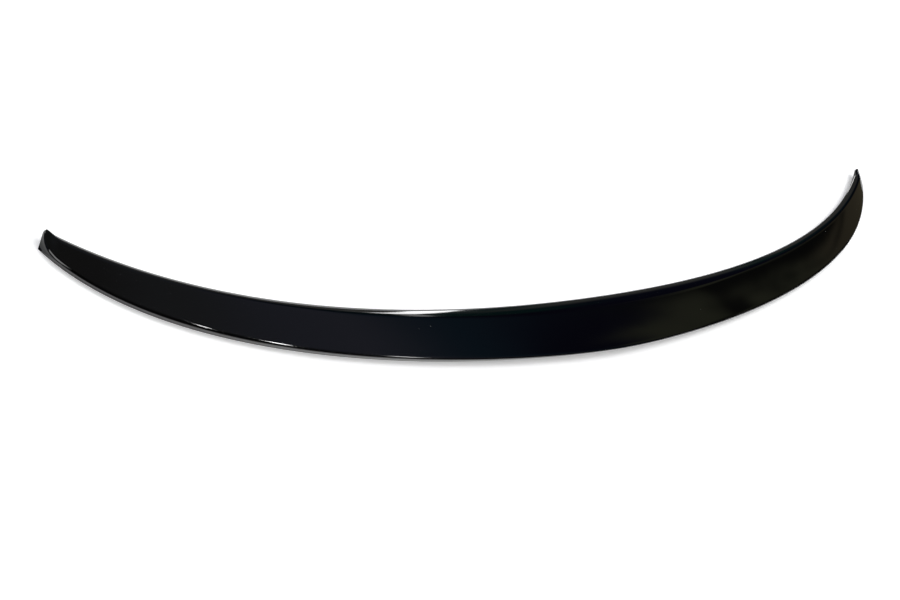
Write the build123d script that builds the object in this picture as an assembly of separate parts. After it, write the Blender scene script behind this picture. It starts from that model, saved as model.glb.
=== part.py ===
from build123d import *
import math
import os

# Plan, as the spoiler lies at rest: X runs across the car and +Y towards the front of the car
span = 1150.0               # between the sharp corners of lip and end
blade_width = 61.2          # front edge to lip on the centre line
corner_reach = 164.5        # rear corners ahead of the middle of the lip
tip_reach = 178.7           # front tips ahead of the middle of the lip
tip_inset = 6.4             # front tips inside the rear corners
front_middle_run = 258.0    # how far the front edge pulls straight across from the centre line
front_end_run = 137.5       # how far it pulls straight back from the tip
front_end_angle = 39.0      # its heading at the tip, from straight across
lip_middle_run = 122.0      # the same for the lip
lip_end_run = 156.0
lip_end_angle = 60.2
corner_run = 15.0           # length of lip and of front edge taken up by the rounded end
tip_blunt = 2.5             # cut off each side of the pointed front tip

# Heights above the surface that it rests on
lip_height = 11.6           # sharp line of the lip, on the centre line
lip_end_height = 5.8        # the same where the rounded end begins
front_height = 3.7          # underside of the front edge, on the centre line
shoulder_height = 12.0      # pull of that edge towards its highest stretch
tip_height = 8.3            # underside of the front tip

# Section
undercut = 5.2              # foot of the rear wall inside the lip, on the centre line
end_undercut = 2.1          # the same at the rear corner
front_bevel = 14.0          # bevelled front edge: width on the centre line, at the rounded end and at the tip
end_bevel = 8.0
tip_bevel = 0.9
front_rise = 5.0            # and its height at those three places
end_rise = 3.6
tip_rise = 3.0
nose = 2.4                  # length of blade and of wall taken up by the rounded lip
tip_nose = 0.3
hollow = 0.7                # dip of the blade between front bevel and lip, fading to none at the end

# Underside
wall = 3.0
rear_rim = 6.0              # flat foot of the rear wall
front_land = 18.0           # solid bonding strip behind the front edge
solid_end = 45.0            # length of lip at each end with no pocket under it
rib = 2.0
rib_pitch = 72.0

UP = Vector(0, 0, 1)
ROUND = 0.55                # pull of a cubic that rounds a square corner
SOFT = 0.3                  # pull of a cubic that stays nearly flat between two softened edges
SWING = 2 / 3               # pull of a cubic that swings round in a parabola


def heading(angle):
    return Vector(math.cos(math.radians(angle)), math.sin(math.radians(angle)), 0)


def at_heights(curve, *heights):
    return [Vector(p.X, p.Y, z) for p, z in zip(curve, heights)]


def blend(first, second, share):
    return [p + (q - p) * share for p, q in zip(first, second)]


def lowered(curve, drops):
    return [p - UP * drop for p, drop in zip(curve, drops)]


def faded(first, last):
    """A size for each of four control points, changing smoothly from the middle of the car outwards."""
    return first, first, last, last


def split(curve, at):
    """Cuts a cubic, given by its four control points, into two."""
    a, b, c = (p + (q - p) * at for p, q in zip(curve, curve[1:]))
    ab = a + (b - a) * at
    bc = b + (c - b) * at
    middle = ab + (bc - ab) * at
    return [curve[0], a, ab, middle], [middle, bc, c, curve[3]]


def sides(curve):
    """Level directions square to a cubic at its four control points."""
    start = UP.cross(curve[1] - curve[0]).normalized()
    end = UP.cross(curve[3] - curve[2]).normalized()
    return faded(start, end)


def towards(curve, target, widths):
    """Moves a cubic towards another one until it lies the given widths from its old place."""
    moves = [q - p for p, q in zip(curve, target)]
    reaches = [abs(move.dot(side)) for move, side in zip(moves, sides(curve))]
    return [p + move * (width / reach) for p, move, width, reach in zip(curve, moves, widths, reaches)]


def strips(front, lip, foot, bevels, rises, noses, dips):
    """Control rows of the four strips of outer skin: front bevel, blade top, rounded lip and rear wall."""
    shoulder = towards(front, lip, bevels)
    shoulder = at_heights(shoulder, *[p.Z + rise for p, rise in zip(front, rises)])
    ahead = lowered(blend(shoulder, lip, 1 / 3), dips)
    behind = lowered(blend(shoulder, lip, 2 / 3), dips)
    lip_start = towards(lip, behind, noses)
    lip_stop = [p + (q - p).normalized() * (p - s).length for p, q, s in zip(lip, foot, lip_start)]
    upright = [p + UP * (rise * SOFT) for p, rise in zip(front, rises)]
    levelling = [p - (q - p).normalized() * ((p - f).length * SOFT) for p, q, f in zip(shoulder, ahead, front)]
    return [
        [front, upright, levelling, shoulder],
        [shoulder, ahead, behind, lip_start],
        [lip_start, blend(lip, lip_start, 1 - ROUND), blend(lip, lip_stop, 1 - ROUND), lip_stop],
        [lip_stop, foot],
    ]


# Front edge and lip of the right half, from the centre line to the end
corner = Vector(span / 2, corner_reach, 0)
tip = Vector(span / 2 - tip_inset, tip_reach, 0)
front_middle = Vector(0, blade_width, 0)
lip_middle = Vector(0, 0, 0)
front_edge = [
    front_middle,
    front_middle + heading(0) * front_middle_run,
    tip - heading(front_end_angle) * front_end_run,
    tip,
]
front_edge = at_heights(front_edge, front_height, front_height, shoulder_height, tip_height)
lip_line = [
    lip_middle,
    lip_middle + heading(0) * lip_middle_run,
    corner - heading(lip_end_angle) * lip_end_run,
    corner,
]
lip_line = at_heights(lip_line, *faded(lip_height, lip_end_height))

# The blade stops one corner run short of the tip and of the corner, and the lip swings round to the tip
front_blade, front_rest = split(front_edge, 1 - corner_run / (3 * front_end_run))
front_end, _ = split(front_rest, 1 - tip_blunt / corner_run)
lip_blade, _ = split(lip_line, 1 - corner_run / (3 * lip_end_run))
lip_corner = lip_line[3]
lip_turn = lip_blade[3]
lip_pull = lip_turn - lip_blade[2]
lip_tip = tip + (corner - tip).normalized() * tip_blunt + UP * (tip_height + tip_rise)
lip_end = [
    lip_turn,
    lip_turn + lip_pull.normalized() * (corner_run * SWING),
    lip_tip + (lip_corner - lip_tip) * SWING,
    lip_tip,
]

# The foot of the rear wall is flat on the ground up to a sharp rear corner, then rises straight to the tip
ground = faded(0, 0)
foot_blade = at_heights(towards(lip_line, front_edge, faded(undercut, end_undercut)), *ground)
foot_corner = foot_blade[3]
foot_tip = Vector(lip_tip.X, lip_tip.Y, tip_height)
foot_end = [foot_corner + (foot_tip - foot_corner) * (step / 3) for step in range(4)]
rim_blade = at_heights(towards(foot_blade, front_edge, faded(rear_rim, rear_rim)), *ground)[:3] + [foot_corner]

# Outer skin
blade = strips(
    front_blade,
    lip_blade,
    foot_blade,
    faded(front_bevel, end_bevel),
    faded(front_rise, end_rise),
    faded(nose, nose),
    faded(hollow, 0),
)
end = strips(
    front_end,
    lip_end,
    foot_end,
    faded(end_bevel, tip_bevel),
    faded(end_rise, tip_rise),
    faded(nose, tip_nose),
    faded(0, 0),
)
underside = [[rim_blade, front_blade], [foot_end, front_end]]
half = [Face.make_bezier_surface(rows) for rows in blade + end + underside]
tip_outline = [Edge.make_bezier(*[row[3] for row in rows]) for rows in end[:3]]
tip_outline.append(Edge.make_line(end[3][0][3], foot_tip))
tip_outline.append(Edge.make_line(foot_tip, front_end[3]))
half.append(Face(Wire(tip_outline)))
rim_outline = [Edge.make_bezier(*foot_blade), Edge.make_bezier(*rim_blade)]
rim_outline += [edge.mirror(Plane.YZ) for edge in rim_outline]
skin = half + [face.mirror(Plane.YZ) for face in half] + [Face(Wire(rim_outline))]
body = Solid(Shell(skin))

# Pockets under the blade, drawn straight down from a ceiling one wall below its top
blade_top = blade[1]
top_width = blade_width - front_bevel - nose
ahead_share = (front_land - front_bevel) / top_width
behind_share = 1 - (undercut + wall - nose) / top_width
pocket_share = 1 - solid_end / (3 * lip_pull.length)
columns = [split(split(column, behind_share)[0], ahead_share / behind_share)[1] for column in zip(*blade_top)]
ceiling = [lowered(split(row, pocket_share)[0], faded(wall, wall)) for row in zip(*columns)]
depth = 2 * lip_height
core = Solid.extrude(Face.make_bezier_surface(ceiling), UP * -depth)

# Ribs square to the lip, evenly spaced from the centre line to the solid end
lip_edge = Edge.make_bezier(*split(lip_blade, pocket_share)[0])
bays = round(lip_edge.length / rib_pitch)
ribs = []
for number in range(bays):
    place = lip_edge.position_at(number / bays)
    along = lip_edge.tangent_at(number / bays)
    across = Plane(origin=place, x_dir=Vector(along.X, along.Y, 0), z_dir=UP)
    ribs.append(across * Box(rib, 4 * blade_width, 4 * depth))
pockets = (core - ribs).solids()
pockets += [pocket.mirror(Plane.YZ) for pocket in pockets]
spoiler = body - pockets

# The origin is on the ground under the middle of the spoiler
box = spoiler.bounding_box()
spoiler = Pos(0, -box.center().Y, -box.min.Z) * spoiler

os.makedirs("parts", exist_ok=True)
export_step(spoiler, "parts/spoiler.step")
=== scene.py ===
import math
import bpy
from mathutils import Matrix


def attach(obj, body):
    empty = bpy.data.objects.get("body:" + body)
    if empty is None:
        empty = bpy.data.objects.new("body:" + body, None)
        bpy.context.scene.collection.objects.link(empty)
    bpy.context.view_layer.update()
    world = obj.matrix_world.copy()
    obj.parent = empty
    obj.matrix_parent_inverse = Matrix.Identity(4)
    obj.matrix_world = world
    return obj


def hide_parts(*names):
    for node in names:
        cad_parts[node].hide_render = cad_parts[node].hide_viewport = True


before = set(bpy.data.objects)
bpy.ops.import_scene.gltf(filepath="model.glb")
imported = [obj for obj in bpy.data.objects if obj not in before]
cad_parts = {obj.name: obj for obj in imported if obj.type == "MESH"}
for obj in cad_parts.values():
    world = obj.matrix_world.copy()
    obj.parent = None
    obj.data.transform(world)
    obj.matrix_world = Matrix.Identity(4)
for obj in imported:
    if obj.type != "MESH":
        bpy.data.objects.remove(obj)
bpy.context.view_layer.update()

from types import SimpleNamespace

import bpy
from mathutils import Matrix, Vector

MM = 0.001
BLACK = (0, 0, 0, 1)
WHITE = (1, 1, 1, 1)
UP = Vector((0, 0, 1))
ROUND = 0.55                # pull of a cubic that rounds a square corner
SOFT = 0.3                  # pull of a cubic that stays nearly flat between two softened edges
SWING = 2 / 3               # pull of a cubic that swings round in a parabola

# Sizes of the moulding in millimetres, and angles in degrees, as the part was designed
SIZES = {
    "span": 1150.0,
    "blade_width": 61.2,
    "corner_reach": 164.5,
    "tip_reach": 178.7,
    "tip_inset": 6.4,
    "front_middle_run": 258.0,
    "front_end_run": 137.5,
    "lip_middle_run": 122.0,
    "lip_end_run": 156.0,
    "corner_run": 15.0,
    "tip_blunt": 2.5,
    "lip_height": 11.6,
    "lip_end_height": 5.8,
    "front_height": 3.7,
    "shoulder_height": 12.0,
    "tip_height": 8.3,
    "undercut": 5.2,
    "end_undercut": 2.1,
    "front_bevel": 14.0,
    "end_bevel": 8.0,
    "tip_bevel": 0.9,
    "front_rise": 5.0,
    "end_rise": 3.6,
    "tip_rise": 3.0,
    "nose": 2.4,
    "tip_nose": 0.3,
    "hollow": 0.7,
    "wall": 3.0,
    "rear_rim": 6.0,
    "front_land": 18.0,
    "solid_end": 45.0,
    "rib": 2.0,
    "rib_pitch": 72.0,
}
ANGLES = {"front_end_angle": 39.0, "lip_end_angle": 60.2}
INPUT_NAMES = [*SIZES, *ANGLES]

# Rows of points along and across each strip of skin
BLADE_COLUMNS = 260
END_COLUMNS = 22
BEVEL_STEPS = 14
TOP_STEPS = 22
NOSE_STEPS = 12
WALL_STEPS = 5
RIM_STEPS = 3
UNDER_STEPS = 12
SEAM_GAP = 0.002 * MM       # points closer than this are one point
CREASE = math.radians(32)   # edges that turn by more than this stay sharp
PAINTED = 1.0               # mark of the faces outside
BARE = 0.0                  # mark of the faces of the underside

# Paint, bare plastic and dust, with lengths in metres
PAINT_DEEP = (0.0011, 0.0011, 0.0012, 1)
PAINT_HAZY = (0.0018, 0.0018, 0.0019, 1)
PAINT_ROUGHNESS = 0.035
PAINT_HAZE = 0.03           # most that faint haze adds to the roughness
PAINT_IOR = 1.5
WAVE_SCALE = 22.0           # waves in each metre
WAVE_HEIGHT = 0.00002
PEEL_SCALE = 320.0
PEEL_HEIGHT = 0.0000012
HAZE_SCALE = 14.0
PLASTIC_DARK = (0.012, 0.012, 0.013, 1)
PLASTIC_WORN = (0.02, 0.02, 0.021, 1)
PLASTIC_ROUGHNESS = 0.4
PLASTIC_GRAIN = 0.12        # most that the grain adds to the roughness
GRAIN_SCALE = 1500.0
GRAIN_HEIGHT = 0.00004
DUST_SCALE = 70.0           # cells in each metre
DUST_SHARE = 0.12           # cells that hold a speck
DUST_SIZES = (0.0002, 0.0007)
DUST_SOFT = 0.6             # share of a speck's radius where its soft edge begins
DUST_COLOUR = (0.25, 0.25, 0.24, 1)
DUST_ROUGHNESS = 0.6
DUST_HEIGHT = 0.0001

# Floor
FLOOR_SIDE = 60.0
FLOOR_GAP = 0.00005         # keeps the floor clear of the foot that stands on it
FLOOR_COLOUR = (0.92, 0.92, 0.92, 1)
FLOOR_LIFT = (0.34, 0.34, 0.34, 1)
FLOOR_FADE = (1.0, 4.0)     # metres from the middle over which the floor fades to plain white

# The dim room, by azimuth and elevation in degrees. A pair of numbers is where a soft edge starts and ends
ROOM_NAVY = (0.005, 0.005, 0.03, 1)
ROOM_BLACK = (0.006, 0.006, 0.005, 1)
ROOM_TEAL = (0.028, 0.068, 0.115, 1)
ROOM_BLUE = (0.165, 0.175, 0.24, 1)
ROOM_GREY = (0.14, 0.148, 0.16, 1)
ROOM_TOP = (0.1, 0.1, 0.1, 1)
NAVY_TO_BLACK = (67, 72)
ROOM_BANDS = [
    (ROOM_TEAL, (34, 40)),
    (ROOM_BLUE, (39, 47)),
    (ROOM_GREY, (50, 62)),
    (ROOM_TOP, (62, 76)),
]
BACK_WALL_SIDES = (97, 104)
BACK_WALL_TOP = (70, 64)

# Blurred shapes low on one side of the room, with an upper edge that is level at first and then bends down
SHAPE_OLIVE = (0.12, 0.125, 0.08, 1)
SHAPE_BROWN = (0.13, 0.11, 0.07, 1)
OLIVE_TO_BROWN = (79, 84)
SHAPE_LEFT = (64.6, 67.4)
SHAPE_RIGHT = (110, 95)
SHAPE_TOP = (36, 34.5)
SHAPE_FOOT = (-2, 4)
EDGE_ELEVATION = 33
EDGE_BEND_START = 71
EDGE_BEND = 0.003
EDGE_SOFT = (0.7, -0.4)     # degrees above the edge
SHALLOW_END = (-2.6, -1.9)  # degrees above the edge where the shapes stop on the left
DEEP_START = (78, 81)       # azimuth from which they go on down
HUMP_LEFT = (67.2, 69.7)
HUMP_RIGHT = (73.2, 71.7)
GAP_LEFT = (72, 73)
GAP_RIGHT = (75.2, 73.9)
GAP_TOP = (0.2, -0.7)
GAP_SHARE = 0.9             # of the colour, which the gap takes away
PATCH_ACROSS = 0.3          # patches in each degree
PATCH_UP = 0.5
PATCH_SHIFT = 1.44          # picks which patches show
PATCH_LOWEST = -1.6         # degrees above the edge from where the patches only run straight down
PATCH_RANGE = (0.36, 0.62)
PATCH_LEAST = 0.35          # share of the colour between patches
PATCH_END = (-0.8, -2.2)    # degrees above the edge where the patches give way to full colour

# A skirting that the front bevel mirrors, with a leaning line: teal beside the line and light grey panels
SKIRTING_GREY = (0.18, 0.18, 0.17, 1)
SKIRTING_TEAL = (0.005, 0.045, 0.045, 1)
LINE_AZIMUTH = 47.7         # where the line meets the horizon
LINE_LEAN = 0.18            # degrees aside for each degree up
SKIRTING_LEFT = (-30, -20)  # degrees aside of the line
SKIRTING_RIGHT = (16, 8)
SKIRTING_FOOT = (-4, 1)
TEAL_TOP = (33, 26)
TEAL_LEFT = (-0.2, 0.2)
TEAL_RIGHT = (-4.3, -4.8)
TEAL_LEAN = 0.37            # lean of its right edge
TEAL_LEAN_START = 17.0      # elevation from which that edge leans
GREY_PANELS = [             # upper edge, and edge beside the line
    ((19, 11.5), (0.3, 1.3)),
    ((34, 29), (-1.7, -2.4)),
    ((21, 13), (0.3, -0.4)),
]

# Windows: from azimuth to azimuth, from elevation to elevation, and brightness
WINDOWS = [
    (97, 123, 2, 8, 6.0),
    (8, 33, 12, 26, 1.0),
]
WINDOW_SIDE = 0.6           # softness of the upright edges
WINDOW_SILL = 1.0           # softness of the level edges

# Strip lights high on one side, for the streaks along the lip. Each lies round a heading of the lip:
# that heading, from cosine to cosine of the angle from it, from azimuth to azimuth, and brightness
STRIP_LIGHTS = [
    (114.6, 0.397, 0.418, 108, 121, 105.0),
    (107.5, 0.491, 0.514, 101, 114, 112.0),
    (101.5, 0.604, 0.626, 96, 109, 36.0),
]
STRIP_EDGE = 0.004          # softness of its long edges
STRIP_END = 1.0             # softness of its ends

# Lamps
OVERHEAD = 0.999            # a lamp whose direction rises more than this is taken as straight overhead
BEVEL_PLACE = (-0.2317, -0.0232, 0.0093)    # stretch of the front bevel that the two slim lamps face

# Camera, in metres and degrees, with the image taken as 900 pixels wide
CAMERA_AIM = Vector((0, -0.02896, 0))
CAMERA_YAW = -66.586
CAMERA_TILT = 39.239
CAMERA_ROLL = 48.204
CAMERA_DISTANCE = 1.78158
CAMERA_SLIDE = -0.13299
CAMERA_LIFT = 0.00034
FOCAL_PIXELS = 1854.0
IMAGE_WIDTH = 900
SENSOR_WIDTH = 36.0
CLIP_START = 0.01


class Flow:
    """One socket of a node tree. Operators on it add the maths nodes that work them out."""

    def __init__(self, tree, socket):
        self.tree = tree
        self.socket = socket

    def __add__(self, other):
        return self.tree.maths("ADD", self, other)

    def __radd__(self, other):
        return self.tree.maths("ADD", other, self)

    def __sub__(self, other):
        return self.tree.maths("SUBTRACT", self, other)

    def __rsub__(self, other):
        return self.tree.maths("SUBTRACT", other, self)

    def __mul__(self, other):
        return self.tree.product(self, other)

    def __rmul__(self, other):
        return self.tree.product(self, other)

    def __truediv__(self, other):
        return self.tree.maths("DIVIDE", self, other)

    def __rtruediv__(self, other):
        return self.tree.maths("DIVIDE", other, self)

    def __abs__(self):
        return self.tree.maths("ABSOLUTE", self)

    def part(self, axis):
        return self.tree.add("ShaderNodeSeparateXYZ", sockets={"Vector": self}, output=axis)

    def dot(self, other):
        return self.tree.maths("DOT_PRODUCT", self, other)

    def unit(self):
        return self.tree.maths("NORMALIZE", self)

    def length(self):
        return self.tree.maths("LENGTH", self)

    def mix(self, other, share):
        """This vector moved towards another one by a share of the way."""
        settings = {"data_type": "VECTOR", "clamp_factor": False}
        sockets = {"Factor_Float": share, "A_Vector": self, "B_Vector": other}
        return self.tree.add("ShaderNodeMix", settings, sockets, output=1)

    def tint(self, other, share):
        """This colour moved towards another one by a share of the way."""
        return self.tree.colours(self, other, share)

    def ease(self, low, high, start=0.0, end=1.0):
        """A smooth step from start to end as this value goes from low to high."""
        sockets = {"Value": self, "From Min": low, "From Max": high, "To Min": start, "To Max": end}
        return self.tree.add("ShaderNodeMapRange", {"interpolation_type": "SMOOTHSTEP"}, sockets)

    def between(self, low, high, edge):
        """One from low to high and nought outside, with edges this soft to either side."""
        return self.ease(low - edge, low + edge) * self.ease(high + edge, high - edge)

    def other(self, output):
        """Another output of the same node."""
        return Flow(self.tree, self.socket.node.outputs[output])


def is_vector(value):
    if isinstance(value, Flow):
        return value.socket.type == "VECTOR"
    return isinstance(value, Vector)


class Tree:
    """Adds nodes to a node tree and links them."""

    NUMBERS = ("DOT_PRODUCT", "LENGTH")

    def __init__(self, node_tree):
        self.nodes = node_tree.nodes
        self.links = node_tree.links

    def add(self, kind, settings=None, sockets=None, output=0):
        """A node of a kind, with its settings made first, and its sockets set or linked."""
        node = self.nodes.new(kind)
        for name, value in (settings or {}).items():
            setattr(node, name, value)
        inputs = {socket.identifier: socket for socket in node.inputs}
        for name, value in (sockets or {}).items():
            for single in value if isinstance(value, list) else [value]:
                if isinstance(single, Flow):
                    self.links.new(single.socket, inputs[name])
                else:
                    inputs[name].default_value = single
        return Flow(self, node.outputs[output]) if node.outputs else None

    def maths(self, operation, *values):
        settings = {"operation": operation}
        if any(is_vector(value) for value in values):
            sockets = dict(zip(("Vector", "Vector_001"), values))
            output = 1 if operation in self.NUMBERS else 0
            return self.add("ShaderNodeVectorMath", settings, sockets, output)
        sockets = dict(zip(("Value", "Value_001"), values))
        return self.add("ShaderNodeMath", settings, sockets)

    def product(self, first, second):
        if is_vector(first) == is_vector(second):
            return self.maths("MULTIPLY", first, second)
        vector, number = (first, second) if is_vector(first) else (second, first)
        sockets = {"Vector": vector, "Scale": number}
        return self.add("ShaderNodeVectorMath", {"operation": "SCALE"}, sockets)

    def point(self, x, y, z):
        return self.add("ShaderNodeCombineXYZ", sockets={"X": x, "Y": y, "Z": z})

    def noise(self, place, scale, detail):
        sockets = {"Vector": place, "Scale": scale, "Detail": detail}
        return self.add("ShaderNodeTexNoise", sockets=sockets)

    def colours(self, first, second, share):
        sockets = {"Factor_Float": share, "A_Color": first, "B_Color": second}
        return self.add("ShaderNodeMix", {"data_type": "RGBA"}, sockets, output=2)


def leaves(value):
    """The single values inside nested lists, in order."""
    if isinstance(value, (list, tuple)):
        return [leaf for part in value for leaf in leaves(part)]
    return [value]


def refilled(shape, values):
    """Lists nested as in a given shape, with single values taken in order from an iterator."""
    if isinstance(shape, (list, tuple)):
        return [refilled(part, values) for part in shape]
    return next(values)


SOCKETS = {"VECTOR": "NodeSocketVector", "GEOMETRY": "NodeSocketGeometry"}


def new_group(rule, arguments):
    """A node group that works out a rule, and the rule's result inside it."""
    group = bpy.data.node_groups.new(rule.__name__, "GeometryNodeTree")
    values = leaves(arguments)
    for number, value in enumerate(values):
        kind = "NodeSocketVector" if is_vector(value) else "NodeSocketFloat"
        group.interface.new_socket(name=f"Value {number + 1}", in_out="INPUT", socket_type=kind)
    tree = Tree(group)
    inlet = tree.add("NodeGroupInput")
    result = rule(*refilled(arguments, (inlet.other(number) for number in range(len(values)))))
    flows = leaves(result)
    for number, flow in enumerate(flows):
        kind = SOCKETS.get(flow.socket.type, "NodeSocketFloat")
        group.interface.new_socket(name=f"Result {number + 1}", in_out="OUTPUT", socket_type=kind)
    outlet = tree.nodes.new("NodeGroupOutput")
    for socket, flow in zip(outlet.inputs, flows):
        tree.links.new(flow.socket, socket)
    return group, result


def grouped(rule):
    """Makes a rule a node group of its own, built once for each kind of input that it is used on."""
    built = {}

    def use(*arguments):
        values = leaves(arguments)
        kinds = repr(refilled(arguments, (is_vector(value) for value in values)))
        if kinds not in built:
            built[kinds] = new_group(rule, arguments)
        group, result = built[kinds]
        caller = next(value.tree for value in values if isinstance(value, Flow))
        names = [item.identifier for item in group.interface.items_tree if item.in_out == "INPUT"]
        node = caller.add("GeometryNodeGroup", {"node_tree": group}, dict(zip(names, values)))
        return refilled(result, (node.other(number) for number in range(len(leaves(result)))))

    return use


def at_heights(curve, heights):
    return [p.tree.point(p.part("X"), p.part("Y"), z) for p, z in zip(curve, heights)]


def blend(first, second, share):
    return [p.mix(q, share) for p, q in zip(first, second)]


def lowered(curve, drops):
    return [p - p.tree.point(0, 0, drop) for p, drop in zip(curve, drops)]


def faded(first, last):
    """A size for each of four control points, changing smoothly from the middle of the car outwards."""
    return first, first, last, last


@grouped
def at_share(points, share):
    """The point of a Bezier curve, given by its control points, at a share of its run."""
    while len(points) > 1:
        points = blend(points, points[1:], share)
    return points[0]


@grouped
def split(curve, at):
    """Cuts a cubic, given by its four control points, into two."""
    a, b, c = blend(curve, curve[1:], at)
    ab = a.mix(b, at)
    bc = b.mix(c, at)
    middle = ab.mix(bc, at)
    return [curve[0], a, ab, middle], [middle, bc, c, curve[3]]


def sides(curve):
    """Level directions square to a cubic at its four control points."""
    tree = curve[0].tree
    start = tree.maths("CROSS_PRODUCT", UP, curve[1] - curve[0]).unit()
    end = tree.maths("CROSS_PRODUCT", UP, curve[3] - curve[2]).unit()
    return faded(start, end)


@grouped
def towards(curve, target, widths):
    """Moves a cubic towards another one until it lies the given widths from its old place."""
    moves = [q - p for p, q in zip(curve, target)]
    reaches = [abs(move.dot(side)) for move, side in zip(moves, sides(curve))]
    return [p + move * (width / reach) for p, move, width, reach in zip(curve, moves, widths, reaches)]


@grouped
def section(front, lip, foot, bevels, rises, noses, dips):
    """Control rows of the four strips of outer skin: front bevel, blade top, rounded lip and rear wall."""
    shoulder = towards(front, lip, bevels)
    shoulder = at_heights(shoulder, [p.part("Z") + rise for p, rise in zip(front, rises)])
    ahead = lowered(blend(shoulder, lip, 1 / 3), dips)
    behind = lowered(blend(shoulder, lip, 2 / 3), dips)
    lip_start = towards(lip, behind, noses)
    lip_stop = [p + (q - p).unit() * (p - s).length() for p, q, s in zip(lip, foot, lip_start)]
    upright = [p + p.tree.point(0, 0, rise * SOFT) for p, rise in zip(front, rises)]
    levelling = [
        p - (q - p).unit() * ((p - f).length() * SOFT)
        for p, q, f in zip(shoulder, ahead, front)
    ]
    return [
        [front, upright, levelling, shoulder],
        [shoulder, ahead, behind, lip_start],
        [lip_start, blend(lip, lip_start, 1 - ROUND), blend(lip, lip_stop, 1 - ROUND), lip_stop],
        [lip_stop, foot],
    ]


def guide_lines(tree, size):
    """Front edge, lip and foot of the right half, from the centre line to the end, and where they stop."""
    straight = tree.point(1, 0, 0)
    corner = tree.point(size.span / 2, size.corner_reach, 0)
    tip = tree.point(size.span / 2 - size.tip_inset, size.tip_reach, 0)
    front_middle = tree.point(0, size.blade_width, 0)
    lip_middle = tree.point(0, 0, 0)

    def heading(angle):
        return tree.point(tree.maths("COSINE", angle), tree.maths("SINE", angle), 0)

    front_edge = [
        front_middle,
        front_middle + straight * size.front_middle_run,
        tip - heading(size.front_end_angle) * size.front_end_run,
        tip,
    ]
    front_heights = (size.front_height, size.front_height, size.shoulder_height, size.tip_height)
    front_edge = at_heights(front_edge, front_heights)
    lip_line = [
        lip_middle,
        lip_middle + straight * size.lip_middle_run,
        corner - heading(size.lip_end_angle) * size.lip_end_run,
        corner,
    ]
    lip_line = at_heights(lip_line, faded(size.lip_height, size.lip_end_height))

    # The blade stops one corner run short of tip and corner, and the lip swings round to the tip
    front_blade, front_rest = split(front_edge, 1 - size.corner_run / (3 * size.front_end_run))
    front_end, _ = split(front_rest, 1 - size.tip_blunt / size.corner_run)
    lip_blade, _ = split(lip_line, 1 - size.corner_run / (3 * size.lip_end_run))
    lip_corner = lip_line[3]
    lip_turn = lip_blade[3]
    lip_pull = lip_turn - lip_blade[2]
    tip_top = tree.point(0, 0, size.tip_height + size.tip_rise)
    lip_tip = tip + (corner - tip).unit() * size.tip_blunt + tip_top
    lip_end = [
        lip_turn,
        lip_turn + lip_pull.unit() * (size.corner_run * SWING),
        lip_tip.mix(lip_corner, SWING),
        lip_tip,
    ]

    # The foot of the rear wall is flat on the ground to a sharp rear corner, then rises straight to the tip
    ground = faded(0, 0)
    undercuts = faded(size.undercut, size.end_undercut)
    foot_blade = at_heights(towards(lip_line, front_edge, undercuts), ground)
    foot_corner = foot_blade[3]
    foot_tip = tree.point(lip_tip.part("X"), lip_tip.part("Y"), size.tip_height)
    foot_end = [
        foot_corner,
        foot_corner.mix(foot_tip, 1 / 3),
        foot_corner.mix(foot_tip, 2 / 3),
        foot_tip,
    ]
    rim = at_heights(towards(foot_blade, front_edge, faded(size.rear_rim, size.rear_rim)), ground)
    return SimpleNamespace(
        front_blade=front_blade,
        front_end=front_end,
        lip_blade=lip_blade,
        lip_end=lip_end,
        lip_pull=lip_pull,
        foot_blade=foot_blade,
        foot_end=foot_end,
        rim_blade=rim[:3] + [foot_corner],
    )


@grouped
def sheet_of_skin(rows, columns, steps, outer):
    """A sheet of faces over Bezier control rows, marked as painted outside or bare underside."""
    tree = columns.tree
    place = tree.add("GeometryNodeInputPosition")
    along = place.part("X") + 0.5
    across = place.part("Y") + 0.5
    spot = at_share([at_share(row, along) for row in rows], across)
    counts = {"Size X": 1.0, "Size Y": 1.0, "Vertices X": columns, "Vertices Y": steps}
    sheet = tree.add("GeometryNodeMeshGrid", sockets=counts)
    sheet = tree.add("GeometryNodeSetPosition", sockets={"Geometry": sheet, "Position": spot})
    return painted(tree, sheet, outer)


def painted(tree, mesh, outer):
    settings = {"data_type": "FLOAT", "domain": "FACE"}
    sockets = {"Geometry": mesh, "Name": "painted", "Value": outer}
    return tree.add("GeometryNodeStoreNamedAttribute", settings, sockets)


def joined(tree, *meshes):
    return tree.add("GeometryNodeJoinGeometry", sockets={"Geometry": list(meshes)})


def flipped(tree, mesh):
    return tree.add("GeometryNodeFlipFaces", sockets={"Mesh": mesh})


def mirrored(tree, mesh):
    return tree.add("GeometryNodeTransform", sockets={"Geometry": mesh, "Scale": Vector((-1, 1, 1))})


def cut_away(tree, mesh, *cutters):
    settings = {"operation": "DIFFERENCE", "solver": "MANIFOLD"}
    return tree.add("GeometryNodeMeshBoolean", settings, {"Mesh 1": mesh, "Mesh 2": list(cutters)})


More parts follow.
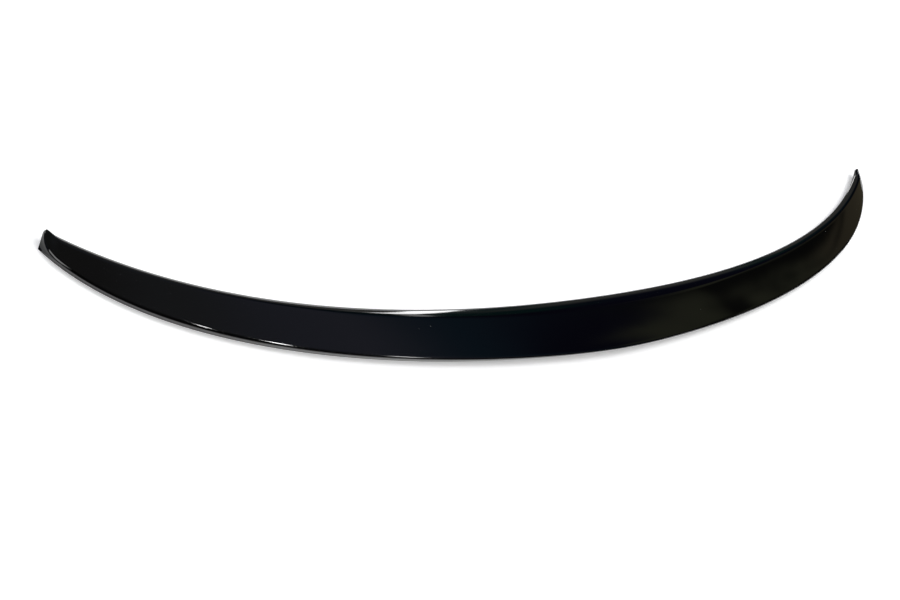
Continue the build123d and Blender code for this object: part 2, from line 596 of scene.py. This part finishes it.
def outer_body(tree, size, line):
    """The closed outer skin of the whole moulding, before its underside is hollowed."""
    blade = section(
        line.front_blade,
        line.lip_blade,
        line.foot_blade,
        faded(size.front_bevel, size.end_bevel),
        faded(size.front_rise, size.end_rise),
        faded(size.nose, size.nose),
        faded(size.hollow, 0),
    )
    end = section(
        line.front_end,
        line.lip_end,
        line.foot_end,
        faded(size.end_bevel, size.tip_bevel),
        faded(size.end_rise, size.tip_rise),
        faded(size.nose, size.tip_nose),
        faded(0, 0),
    )
    steps = (BEVEL_STEPS, TOP_STEPS, NOSE_STEPS, WALL_STEPS)
    sheets = []
    for rows, count in zip(blade, steps):
        sheets.append(sheet_of_skin(rows, BLADE_COLUMNS, count, PAINTED))
    for rows, count in zip(end, steps):
        sheets.append(sheet_of_skin(rows, END_COLUMNS, count, PAINTED))
    rim = [line.foot_blade, line.rim_blade]
    sheets.append(sheet_of_skin(rim, BLADE_COLUMNS, RIM_STEPS, BARE))
    blade_floor = [line.rim_blade, line.front_blade]
    sheets.append(sheet_of_skin(blade_floor, BLADE_COLUMNS, UNDER_STEPS, BARE))
    end_floor = [line.foot_end, line.front_end]
    sheets.append(sheet_of_skin(end_floor, END_COLUMNS, UNDER_STEPS, BARE))

    # The blunt tip is a fan of faces from its outline to its middle
    middle = line.foot_end[3].mix(end[0][3][3], 0.5)
    for rows, count in zip(end + [end_floor], steps + (UNDER_STEPS,)):
        sheets.append(sheet_of_skin([[row[3], middle] for row in rows], 2, count, PAINTED))
    half = joined(tree, *sheets)
    whole = joined(tree, flipped(tree, half), mirrored(tree, half))
    whole = tree.add("GeometryNodeMergeByDistance", sockets={"Geometry": whole, "Distance": SEAM_GAP})
    return whole, blade[1]


def pockets(tree, size, line, blade_top):
    """Hollows under the right half of the blade, one wall below its top, with ribs square to the lip."""
    top_width = size.blade_width - size.front_bevel - size.nose
    ahead_share = (size.front_land - size.front_bevel) / top_width
    behind_share = 1 - (size.undercut + size.wall - size.nose) / top_width
    pocket_share = 1 - size.solid_end / (3 * line.lip_pull.length())
    columns = []
    for column in zip(*blade_top):
        before_wall, _ = split(column, behind_share)
        _, behind_land = split(before_wall, ahead_share / behind_share)
        columns.append(behind_land)
    walls = faded(size.wall, size.wall)
    ceiling = [lowered(split(row, pocket_share)[0], walls) for row in zip(*columns)]
    depth = 2 * size.lip_height

    place = tree.add("GeometryNodeInputPosition")
    along = place.part("X") + 0.5
    across = 0.5 - place.part("Y")
    spot = at_share([at_share(row, along) for row in ceiling], across)
    spot = spot - tree.point(0, 0, (0.5 - place.part("Z")) * depth)
    counts = {"Vertices X": BLADE_COLUMNS, "Vertices Y": TOP_STEPS, "Vertices Z": 2}
    core = tree.add("GeometryNodeMeshCube", sockets={"Size": Vector((1, 1, 1)), **counts})
    core = tree.add("GeometryNodeSetPosition", sockets={"Geometry": core, "Position": spot})

    start, start_pull, end_pull, end = split(line.lip_blade, pocket_share)[0]
    handles = {"Start": start, "Start Handle": start_pull, "End Handle": end_pull, "End": end}
    lip = tree.add(
        "GeometryNodeCurvePrimitiveBezierSegment",
        sockets={"Resolution": BLADE_COLUMNS, **handles},
    )
    lip_length = tree.add("GeometryNodeCurveLength", sockets={"Curve": lip})
    bays = tree.maths("ROUND", lip_length / size.rib_pitch)
    places = tree.add("GeometryNodeCurveToPoints", {"mode": "COUNT"}, {"Curve": lip, "Count": bays + 1})
    turn = tree.add(
        "FunctionNodeAlignRotationToVector",
        {"axis": "X", "pivot_axis": "Z"},
        {"Vector": places.other("Tangent") * Vector((1, 1, 0))},
    )
    bar = tree.add(
        "GeometryNodeMeshCube",
        sockets={"Size": tree.point(size.rib, 4 * size.blade_width, 4 * depth)},
    )
    before_end = tree.maths("LESS_THAN", tree.add("GeometryNodeInputIndex"), bays)
    ribs = tree.add(
        "GeometryNodeInstanceOnPoints",
        sockets={"Points": places, "Selection": before_end, "Instance": bar, "Rotation": turn},
    )
    ribs = tree.add("GeometryNodeRealizeInstances", sockets={"Geometry": ribs})
    return cut_away(tree, painted(tree, core, BARE), painted(tree, ribs, BARE))


def moulding_tree(finish):
    """The whole spoiler as geometry nodes, with every size as a named input."""
    group = bpy.data.node_groups.new("spoiler_moulding", "GeometryNodeTree")
    group.is_modifier = True
    group.interface.new_socket(name="Geometry", in_out="OUTPUT", socket_type="NodeSocketGeometry")
    for name in INPUT_NAMES:
        label = name.replace("_", " ").capitalize()
        group.interface.new_socket(name=label, in_out="INPUT", socket_type="NodeSocketFloat")
    tree = Tree(group)
    inputs = tree.add("NodeGroupInput")
    size = SimpleNamespace(**{name: inputs.other(number) for number, name in enumerate(INPUT_NAMES)})

    line = guide_lines(tree, size)
    body, blade_top = outer_body(tree, size, line)
    right = pockets(tree, size, line, blade_top)
    left = flipped(tree, mirrored(tree, right))
    spoiler = cut_away(tree, body, right, left)

    # The origin is on the ground under the middle of the spoiler
    box = tree.add("GeometryNodeBoundBox", sockets={"Geometry": spoiler})
    low = box.other("Min")
    middle = low.mix(box.other("Max"), 0.5)
    shift = tree.point(0, 0 - middle.part("Y"), 0 - low.part("Z"))
    spoiler = tree.add("GeometryNodeTransform", sockets={"Geometry": spoiler, "Translation": shift})
    spoiler = tree.add("GeometryNodeRealizeInstances", sockets={"Geometry": spoiler})
    spoiler = tree.add("GeometryNodeSetMaterial", sockets={"Geometry": spoiler, "Material": finish})
    outlet = tree.nodes.new("NodeGroupOutput")
    tree.links.new(spoiler.socket, outlet.inputs[0])
    return group


def plain_mesh(name, group):
    """The tree's result as a plain mesh object, with smooth faces and sharp creases."""
    piece = bpy.data.objects.new(name, bpy.data.meshes.new(name))
    bpy.context.scene.collection.objects.link(piece)
    modifier = piece.modifiers.new("shape", "NODES")
    modifier.node_group = group
    values = [size * MM for size in SIZES.values()]
    values += [math.radians(angle) for angle in ANGLES.values()]
    sockets = [item for item in group.interface.items_tree if item.in_out == "INPUT"]
    for socket, value in zip(sockets, values):
        modifier[socket.identifier] = value
    depsgraph = bpy.context.evaluated_depsgraph_get()
    mesh = bpy.data.meshes.new_from_object(piece.evaluated_get(depsgraph), depsgraph=depsgraph)
    piece.modifiers.clear()
    piece.data = mesh
    mesh.name = piece.name
    mesh.shade_smooth()
    mesh.set_sharp_from_angle(angle=CREASE)
    return piece


def fresh_tree(owner):
    """An empty node tree of a material or world."""
    owner.use_nodes = True
    owner.node_tree.nodes.clear()
    return Tree(owner.node_tree)


def gloss_black():
    """Black gloss paint with faint waves, fine peel and a little dust, and bare plastic on the underside."""
    material = bpy.data.materials.new("gloss_black")
    tree = fresh_tree(material)
    place = tree.add("ShaderNodeTexCoord", output="Object")
    paint = tree.add("ShaderNodeAttribute", {"attribute_name": "painted"}, output="Fac")
    waves = tree.noise(place, WAVE_SCALE, detail=1.0)
    peel = tree.noise(place, PEEL_SCALE, detail=2.0)
    grain = tree.noise(place, GRAIN_SCALE, detail=3.0)
    haze = tree.noise(place, HAZE_SCALE, detail=4.0)

    # Dust lies in a few of the cells of a fine net, as a small spot of its own size
    net = {"Vector": place, "Scale": DUST_SCALE}
    cells = tree.add("ShaderNodeTexVoronoi", sockets=net, output="Distance")
    chance = tree.add("ShaderNodeSeparateColor", sockets={"Color": cells.other("Color")})
    smallest, largest = (size * DUST_SCALE for size in DUST_SIZES)
    radius = chance.other("Green").ease(0, 1, smallest, largest)
    spot = (cells / radius).ease(DUST_SOFT, 1.0, 1.0, 0.0)
    dust = spot * tree.maths("LESS_THAN", chance, DUST_SHARE) * paint

    black = tree.colours(PAINT_DEEP, PAINT_HAZY, haze)
    bare = tree.colours(PLASTIC_DARK, PLASTIC_WORN, grain)
    colour = bare.tint(black, paint).tint(DUST_COLOUR, dust)
    sheen = PAINT_ROUGHNESS + haze * PAINT_HAZE
    rough = (PLASTIC_ROUGHNESS + grain * PLASTIC_GRAIN) * (1 - paint) + sheen * paint
    rough = rough * (1 - dust) + DUST_ROUGHNESS * dust
    height = (waves * WAVE_HEIGHT + peel * PEEL_HEIGHT) * paint + grain * GRAIN_HEIGHT * (1 - paint)
    bump = tree.add("ShaderNodeBump", sockets={"Height": height + dust * DUST_HEIGHT, "Distance": 1.0})
    sockets = {"Base Color": colour, "Roughness": rough, "Normal": bump, "IOR": PAINT_IOR}
    surface = tree.add("ShaderNodeBsdfPrincipled", sockets=sockets)
    tree.add("ShaderNodeOutputMaterial", sockets={"Surface": surface})
    return material


def floor():
    """A plain white floor that keeps the shadow and that eyes and mirrors see as white."""
    material = bpy.data.materials.new("floor_white")
    tree = fresh_tree(material)
    path = tree.add("ShaderNodeLightPath")
    seen = path.other("Is Camera Ray") + path.other("Is Glossy Ray") + path.other("Is Transmission Ray")
    matt = tree.add("ShaderNodeBsdfDiffuse", sockets={"Color": FLOOR_COLOUR})
    far = tree.add("ShaderNodeTexCoord", output="Object").length().ease(*FLOOR_FADE)
    lift = tree.colours(FLOOR_LIFT, WHITE, far)
    shine = tree.colours(BLACK, lift, seen)
    glow = tree.add("ShaderNodeEmission", sockets={"Color": shine, "Strength": 1.0})
    surface = tree.add("ShaderNodeAddShader", sockets={"Shader": matt, "Shader_001": glow})
    tree.add("ShaderNodeOutputMaterial", sockets={"Surface": surface})
    mesh = bpy.data.meshes.new("floor")
    half = FLOOR_SIDE / 2
    corners = [(-half, -half, 0), (half, -half, 0), (half, half, 0), (-half, half, 0)]
    mesh.from_pydata(corners, [], [(0, 1, 2, 3)])
    mesh.materials.append(material)
    ground = bpy.data.objects.new("floor", mesh)
    ground.location = (0, 0, -FLOOR_GAP)
    bpy.context.scene.collection.objects.link(ground)


def towards_light(azimuth, elevation):
    """The direction to a place round the object: azimuth 0 is straight ahead, along +Y, and 90 along +X."""
    turn = math.radians(azimuth)
    rise = math.radians(elevation)
    return Vector((math.sin(turn) * math.cos(rise), math.cos(turn) * math.cos(rise), math.sin(rise)))


def softbox(name, azimuth, elevation, distance, width, height, radiance, aim=(0, 0, 0), roll=0.0):
    """A flat lamp that faces the object, with its brightness as a surface."""
    lamp = bpy.data.lights.new(name, "AREA")
    lamp.shape = "RECTANGLE"
    lamp.size = width
    lamp.size_y = height
    lamp.energy = radiance * math.pi * width * height
    holder = bpy.data.objects.new(name, lamp)
    away = towards_light(azimuth, elevation)
    across = Vector((1, 0, 0)) if away.z > OVERHEAD else UP.cross(away).normalized()
    turn = Matrix.Rotation(math.radians(roll), 3, away)
    axes = Matrix((turn @ across, turn @ away.cross(across), away)).transposed()
    holder.matrix_world = Matrix.Translation(Vector(aim) + away * distance) @ axes.to_4x4()
    bpy.context.scene.collection.objects.link(holder)
    return holder


def blurred_shapes(tree, colour, turn, rise):
    """Adds olive and brown shapes low on one side, patchy at their upper edge."""
    bend = tree.maths("MAXIMUM", turn - EDGE_BEND_START, 0.0)
    level = rise - EDGE_ELEVATION + bend * bend * bend * EDGE_BEND
    patch_level = tree.maths("MAXIMUM", level, PATCH_LOWEST)
    spread = tree.point(turn * PATCH_ACROSS + PATCH_SHIFT, patch_level * PATCH_UP, 0.0)
    shapes = tree.noise(spread, 1.0, detail=3.0)
    patches = shapes.ease(*PATCH_RANGE, PATCH_LEAST, 1.0)
    patches = tree.maths("MAXIMUM", patches, level.ease(*PATCH_END))

    beside = turn.ease(*SHAPE_LEFT) * turn.ease(*SHAPE_RIGHT)
    beside = beside * rise.ease(*SHAPE_TOP) * rise.ease(*SHAPE_FOOT)
    beside = beside * tree.maths("MAXIMUM", level.ease(*SHALLOW_END), turn.ease(*DEEP_START))
    hump = turn.ease(*HUMP_LEFT) * turn.ease(*HUMP_RIGHT)
    gap = turn.ease(*GAP_LEFT) * turn.ease(*GAP_RIGHT) * level.ease(*GAP_TOP)
    below_edge = (level - hump).ease(*EDGE_SOFT) * (1 - gap * GAP_SHARE)
    olive = tree.colours(SHAPE_OLIVE, SHAPE_BROWN, turn.ease(*OLIVE_TO_BROWN))
    return colour.tint(olive, beside * below_edge * patches)


def skirting(tree, colour, turn, rise):
    """Adds the skirting that the front bevel mirrors."""
    aside = turn - LINE_AZIMUTH - rise * LINE_LEAN
    along = aside.ease(*SKIRTING_LEFT) * aside.ease(*SKIRTING_RIGHT) * rise.ease(*SKIRTING_FOOT)
    teal_end = aside - tree.maths("MAXIMUM", rise, TEAL_LEAN_START) * TEAL_LEAN
    teal = rise.ease(*TEAL_TOP) * aside.ease(*TEAL_LEFT) * teal_end.ease(*TEAL_RIGHT)
    colour = colour.tint(SKIRTING_TEAL, along * teal)
    for top, side in GREY_PANELS:
        colour = colour.tint(SKIRTING_GREY, along * rise.ease(*top) * aside.ease(*side))
    return colour


def lights_for_mirrors(tree, colour, way, turn, rise):
    """Adds windows and strip lights for mirrors only, so that they leave the shadow on the floor alone."""
    mirrored_only = tree.add("ShaderNodeLightPath", output="Is Glossy Ray")
    around = turn + tree.maths("LESS_THAN", turn, 0.0) * 360
    for left, right, low, high, brightness in WINDOWS:
        pane = around.between(left, right, WINDOW_SIDE) * rise.between(low, high, WINDOW_SILL)
        glow = (brightness, brightness, brightness, 1)
        colour = colour.tint(glow, pane * mirrored_only)
    for heading, first, last, left, right, brightness in STRIP_LIGHTS:
        share = way.dot(towards_light(heading, 0))
        strip = share.between(first, last, STRIP_EDGE) * around.between(left, right, STRIP_END)
        glow = (brightness, brightness, brightness, 1)
        colour = colour.tint(glow, strip * mirrored_only)
    return colour


def surroundings():
    """A dim room round the object: grey above, nearly black low down, with things for the gloss to mirror."""
    world = bpy.data.worlds.new("dim_room")
    bpy.context.scene.world = world
    tree = fresh_tree(world)
    way = tree.add("ShaderNodeTexCoord", output="Generated")
    rise = tree.maths("ARCSINE", way.part("Z")) * math.degrees(1)
    turn = tree.maths("ARCTAN2", way.part("X"), way.part("Y")) * math.degrees(1)

    colour = tree.colours(ROOM_NAVY, ROOM_BLACK, turn.ease(*NAVY_TO_BLACK))
    for band, edge in ROOM_BANDS:
        colour = colour.tint(band, rise.ease(*edge))
    back_wall = abs(turn).ease(*BACK_WALL_SIDES) * rise.ease(*BACK_WALL_TOP)
    colour = colour.tint(ROOM_BLACK, back_wall)
    colour = blurred_shapes(tree, colour, turn, rise)
    colour = skirting(tree, colour, turn, rise)
    colour = lights_for_mirrors(tree, colour, way, turn, rise)
    light = tree.add("ShaderNodeBackground", sockets={"Color": colour, "Strength": 1.0})
    tree.add("ShaderNodeOutputWorld", sockets={"Surface": light})


def camera():
    """The camera, at the place and angle that the outline in the photograph was fitted with."""
    yaw, tilt, roll = (math.radians(angle) for angle in (CAMERA_YAW, CAMERA_TILT, CAMERA_ROLL))
    back = Vector((math.sin(yaw) * math.cos(tilt), -math.cos(yaw) * math.cos(tilt), math.sin(tilt)))
    level = Vector((math.cos(yaw), math.sin(yaw), 0))
    upright = back.cross(level)
    right = level * math.cos(roll) + upright * math.sin(roll)
    top = upright * math.cos(roll) - level * math.sin(roll)
    eye = CAMERA_AIM + back * CAMERA_DISTANCE + right * CAMERA_SLIDE + top * CAMERA_LIFT
    lens = bpy.data.cameras.new("camera")
    lens.sensor_width = SENSOR_WIDTH
    lens.lens = FOCAL_PIXELS * SENSOR_WIDTH / IMAGE_WIDTH
    lens.clip_start = CLIP_START
    seat = bpy.data.objects.new("camera", lens)
    seat.matrix_world = Matrix.Translation(eye) @ Matrix((right, top, back)).transposed().to_4x4()
    bpy.context.scene.collection.objects.link(seat)
    bpy.context.scene.camera = seat


spoiler = plain_mesh("spoiler_blade", moulding_tree(gloss_black()))
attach(spoiler, "root")
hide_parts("spoiler")

floor()
surroundings()

# Two large lamps light the floor and cast the shadow, and mirrors don't see them
ceiling = softbox("ceiling", azimuth=0, elevation=90, distance=3.6, width=5.0, height=5.0, radiance=0.7)
key = softbox("key", azimuth=72, elevation=68, distance=4.5, width=2.2, height=2.2, radiance=5.6)
for lamp in (ceiling, key):
    lamp.visible_glossy = False

# A softbox behind the camera, one beside it, and two slim lamps that draw the light edge of the front bevel
softbox("main", azimuth=-112, elevation=40, distance=3.0, width=0.95, height=1.2, radiance=4.0)
softbox("side", azimuth=-35, elevation=32, distance=4.0, width=2.2, height=1.6, radiance=2.0)
softbox(
    "edge_lamp",
    azimuth=49.2,
    elevation=9,
    distance=2.0,
    width=0.06,
    height=0.5,
    radiance=9.0,
    aim=BEVEL_PLACE,
    roll=4,
)
softbox(
    "edge_glow",
    azimuth=54,
    elevation=24,
    distance=2.0,
    width=0.035,
    height=0.56,
    radiance=1.6,
    aim=BEVEL_PLACE,
    roll=27,
)
bpy.context.scene.view_settings.view_transform = "Standard"
camera()
